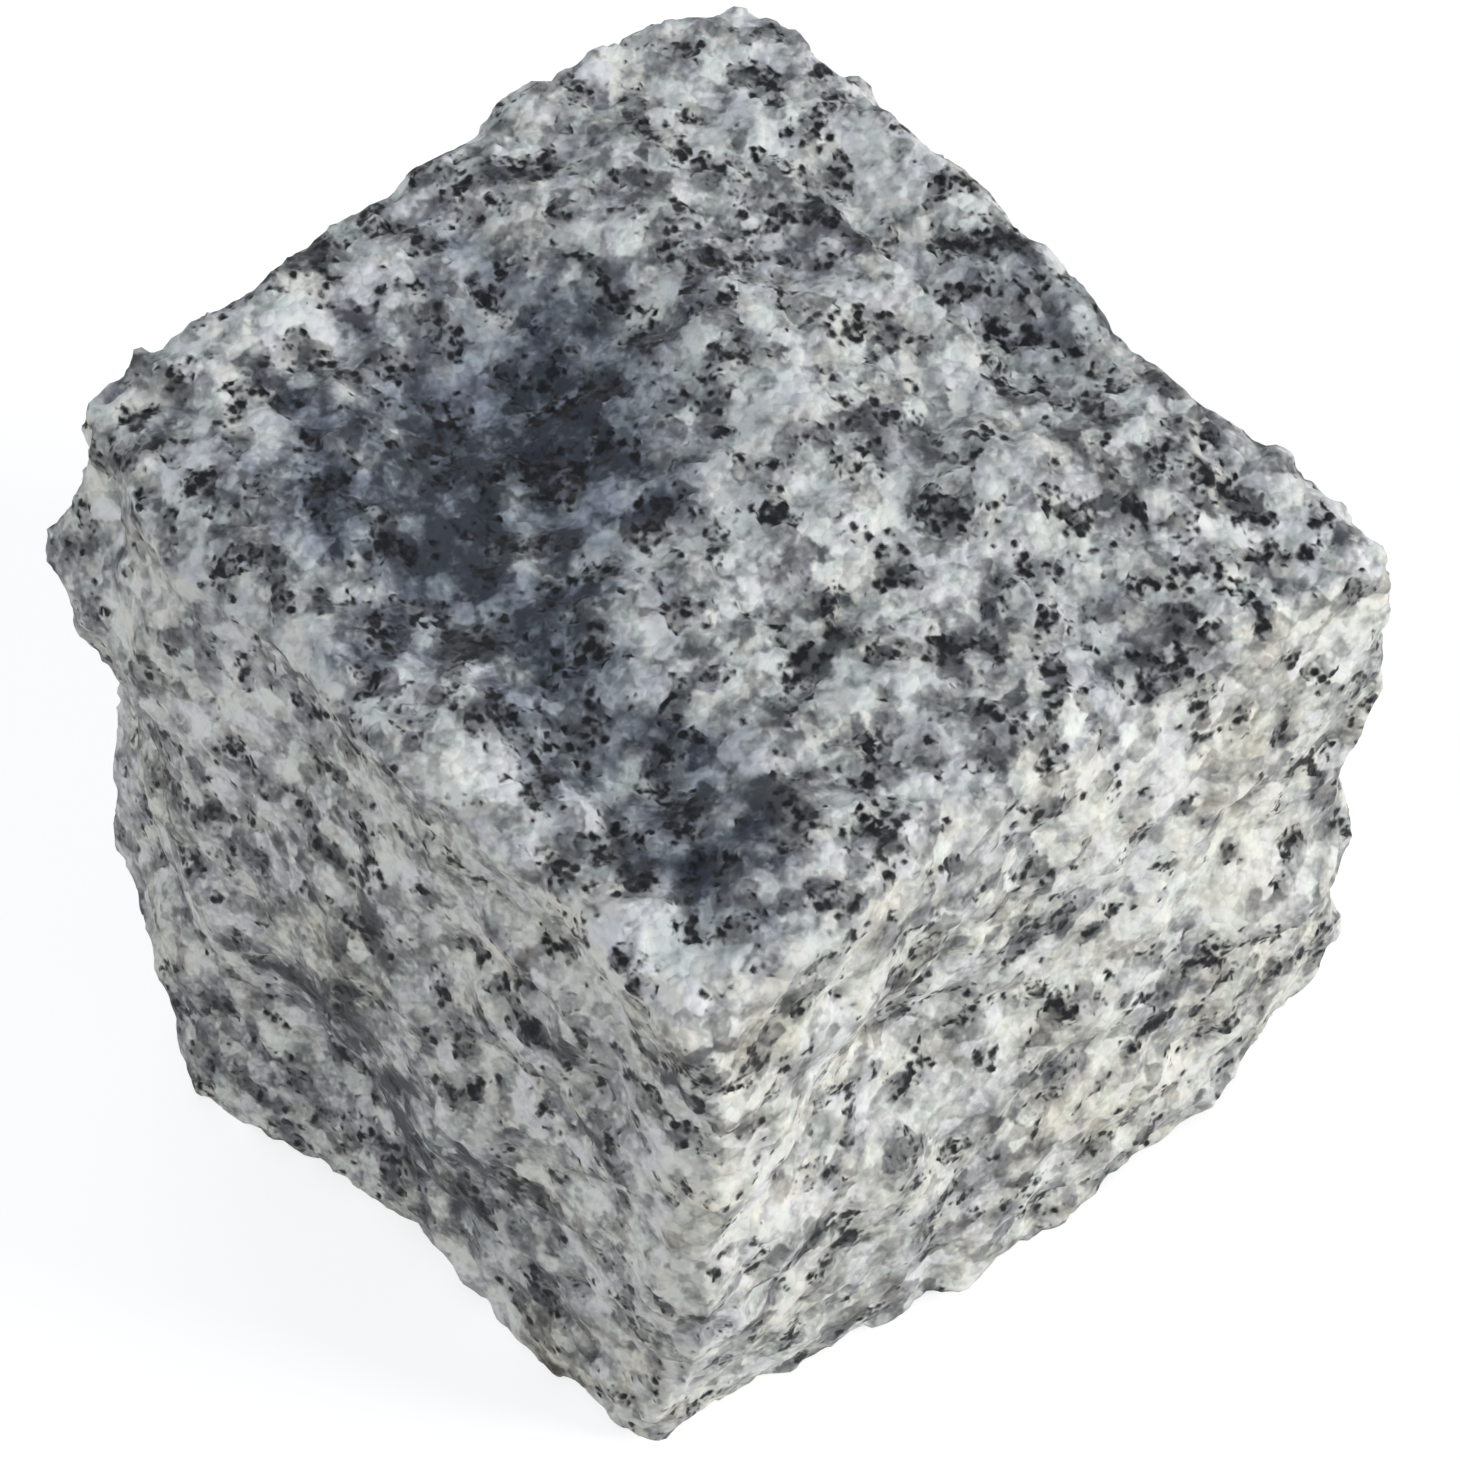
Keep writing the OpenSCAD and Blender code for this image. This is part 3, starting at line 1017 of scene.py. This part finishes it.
@dataclass
class Studio:
    """The floor, the lamps and the camera.

    Attributes:
        azimuth: Where the camera stands round the stone (degrees).
        elevation: How high it looks down from (degrees).
        distance: How far it is from its target (mm).
        target: What it looks at (mm).
        focal_px: Its focal length in the photograph's pixels.
        middle: The height of the stone's middle (m).
        surround: How strongly the surround lights the stone.
        surround_colour: The colour of that light.
        floor_size: Half the floor's side (m).
        floor_colour: The floor's colour in the lamps' light.
        glow_near: How much whiter than that the floor looks near the stone.
        glow_far: How much whiter again it looks far away.
        glow_reach: Where that begins and where it is full (m).
    """

    azimuth: float = -41.5
    elevation: float = 51.5
    distance: float = 520.0
    target: Point = (3.362, -1.590, 48.5)
    focal_px: float = 4850.0
    middle: float = 0.048
    surround: float = 0.20
    surround_colour: tuple[float, ...] = (0.93, 0.965, 1.0, 1.0)
    floor_size: float = 3.0
    floor_colour: tuple[float, ...] = (0.50, 0.50, 0.50, 1.0)
    glow_near: float = 0.70
    glow_far: float = 0.29
    glow_reach: Band = (0.4, 2.2)

    def build(self) -> None:
        """Makes the camera, the lamps, the world and the floor."""
        self._camera()
        for lamp in LAMPS:
            lamp.build(Vector((0.0, 0.0, self.middle)))
        self._world()
        self._floor()

    def _camera(self) -> None:
        """Places the camera as the photograph's stood."""
        turn, rise = math.radians(self.azimuth), math.radians(self.elevation)
        back = Vector(
            (math.sin(turn) * math.cos(rise), -math.cos(turn) * math.cos(rise), math.sin(rise))
        )
        right = Vector((math.cos(turn), math.sin(turn), 0.0))
        up = back.cross(right)
        data = bpy.data.cameras.new("camera")
        data.sensor_width = FILM_WIDTH
        data.sensor_fit = "HORIZONTAL"
        data.lens = FILM_WIDTH * self.focal_px / PHOTO_WIDTH_PX
        data.clip_start = 0.01
        camera = bpy.data.objects.new("camera", data)
        bpy.context.scene.collection.objects.link(camera)
        eye = Vector(self.target) * MM + back * (self.distance * MM)
        turned = Matrix((right, up, back)).transposed().to_4x4()
        camera.matrix_world = Matrix.Translation(eye) @ turned
        bpy.context.scene.camera = camera

    def _world(self) -> None:
        """A pale surround that the camera sees as white."""
        world = bpy.data.worlds.new("surround")
        bpy.context.scene.world = world
        tree = Tree(world)
        light = {"Color": self.surround_colour, "Strength": self.surround}
        light = tree.node("ShaderNodeBackground", {}, light)
        white = tree.node("ShaderNodeBackground", {}, {"Color": WHITE})
        both = tree.node("ShaderNodeMixShader", {}, {0: tree.seen(), 1: light, 2: white})
        tree.finish(both, "ShaderNodeOutputWorld")

    def _floor(self) -> None:
        """A pale floor that keeps the stone's shadow."""
        mesh = bmesh.new()
        bmesh.ops.create_grid(mesh, x_segments=1, y_segments=1, size=self.floor_size)
        data = bpy.data.meshes.new("floor")
        mesh.to_mesh(data)
        mesh.free()
        floor = bpy.data.objects.new("floor", data)
        bpy.context.scene.collection.objects.link(floor)
        material = bpy.data.materials.new("floor")
        tree = Tree(material)
        matt = tree.node("ShaderNodeBsdfDiffuse", {}, {"Color": self.floor_colour})
        away = tree.vector("LENGTH", tree.node("ShaderNodeTexCoord", output="Object"))
        away = tree.also(away, "Value").ramp(*self.glow_reach)
        strength = tree.seen() * (away * self.glow_far + self.glow_near)
        glow = tree.node("ShaderNodeEmission", {}, {"Color": WHITE, "Strength": strength})
        tree.finish(tree.node("ShaderNodeAddShader", {}, {0: matt, 1: glow}))
        data.materials.append(material)


# The stone's painted shade, painted light and rust stains, and where its mica is thick


# Painted shade: darker and bluer in the head's hollows that lie in shadow, and low on the left
# face.
SMOKE = (
    Patch((-9.0, 19.0, 91.0), 29.0, 1.0),
    Patch((-20.0, 11.0, 91.0), 18.0, 0.5),
    Patch((-27.0, 2.0, 90.0), 17.0, 0.75),
    Patch((-27.0, -14.0, 89.0), 15.0, 0.7),
    Patch((-28.0, -30.0, 88.0), 14.0, 0.8),
    Patch((-33.0, -42.0, 88.0), 12.0, 0.5),
    Patch((-33.0, 20.0, 92.0), 22.0, 0.4),
    Patch((19.0, -46.0, 88.0), 10.0, 0.4),
    Patch((43.0, -6.0, 91.0), 12.0, 0.5),
    Patch((-44.0, 4.0, 24.0), 19.0, 0.30),
    Patch((-44.0, -20.0, 18.0), 17.0, 0.3),
)
# Painted light and shade: paler where light falls, on the front face and its ridge, along the
# head's left rim, on the head's middle and high on the left face; darker where the depth is below
# 0, on two parts of the head and lower down the left face.
PAINTED_LIGHT_AND_SHADE = (
    Patch((23.0, 31.0, 93.0), 18.0, -0.3),
    Patch((-12.0, 21.0, 91.0), 15.0, -0.7),
    *(
        Patch((-42.0, y, 91.0), 8.0, 0.85 - 0.01 * y)
        for y in (14.0, 5.0, -4.0, -13.0, -22.0, -31.0, -40.0, -49.0)
    ),
    Patch((4.0, 2.0, 93.0), 20.0, 0.45),
    Patch((27.0, 5.0, 93.0), 20.0, 0.3),
    Patch((-44.0, 4.0, 64.0), 19.0, -0.8),
    Patch((-45.0, -50.0, 50.0), 16.0, 0.6),
    Patch((-36.0, -51.0, 52.0), 14.0, 2.4),
    Patch((-28.0, -51.0, 65.0), 10.0, 0.7),
    Patch((20.0, -51.0, 68.0), 16.0, 0.8),
    Patch((-9.0, -50.0, 50.0), 15.0, 0.4),
    Patch((14.0, -52.0, 75.0), 16.0, 0.6),
    Patch((31.0, -51.0, 50.0), 17.0, 1.1),
    Patch((-43.0, 22.0, 82.0), 20.0, 0.9),
    Patch((-44.0, 0.0, 31.0), 23.0, -1.7),
    Patch((-44.0, 10.0, 20.0), 26.0, -0.8),
    Patch((-44.0, -22.0, 20.0), 22.0, -0.5),
)
RUST = (
    Patch((13.0, -52.0, 22.0), 12.0, 0.45),
    Patch((-36.0, -50.0, 82.0), 9.0, 0.5),
    Patch((-44.0, -26.0, 7.0), 9.0, 0.4),
)
CLOTS = (
    Patch((9.3, 43.1, 93.0), 8.0, 1.0),
    Patch((31.2, 25.9, 93.0), 6.0, 1.0),
    Patch((27.4, 10.9, 93.0), 5.0, 1.0),
    Patch((42.0, 9.1, 92.0), 7.0, 1.0),
    Patch((40.8, -5.9, 92.0), 9.0, 1.0),
    Patch((37.1, -16.5, 92.0), 6.0, 1.0),
    Patch((7.0, -6.8, 93.0), 5.0, 1.0),
    Patch((-4.4, 15.5, 91.0), 8.0, 0.4),
    Patch((-33.5, 3.3, 90.0), 6.0, 1.0),
    Patch((-15.6, -45.4, 90.0), 5.0, 1.0),
    Patch((-33.7, -15.9, 89.0), 6.0, 1.0),
    Patch((-11.8, -50.0, 59.5), 6.0, 1.0),
    Patch((25.6, -50.0, 18.1), 5.0, 1.0),
    Patch((-26.8, -50.0, 34.4), 5.0, 1.0),
    Patch((-7.1, -50.0, 23.1), 5.0, 1.0),
    Patch((-5.8, -50.0, 78.8), 5.0, 1.0),
    Patch((-45.1, -50.0, 73.8), 6.0, 1.0),
    Patch((-43.0, -13.0, 34.0), 6.0, 1.0),
    Patch((-43.0, 2.6, 43.5), 4.5, 1.0),
    Patch((-43.0, -16.6, 23.1), 5.5, 1.0),
    Patch((-43.0, -40.9, 73.5), 5.5, 1.0),
)


def main() -> None:
    """Builds the stone and its studio."""
    logging.basicConfig(level=logging.INFO, format="%(name)s: %(message)s")
    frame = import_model()
    bpy.context.scene.view_settings.view_transform = "Standard"
    looks = SplitBlock(painted_shade=SMOKE, rust=RUST, painted_light_and_shade=PAINTED_LIGHT_AND_SHADE, clots=CLOTS)
    block = looks.build("sett", frame["nodes"]["sett"])
    block.data.materials.append(Granite().material())
    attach(block, "root")
    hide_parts("sett")
    LOG.info("split_block: %d triangles", len(block.data.polygons))
    Studio().build()


if __name__ == "__main__":
    main()
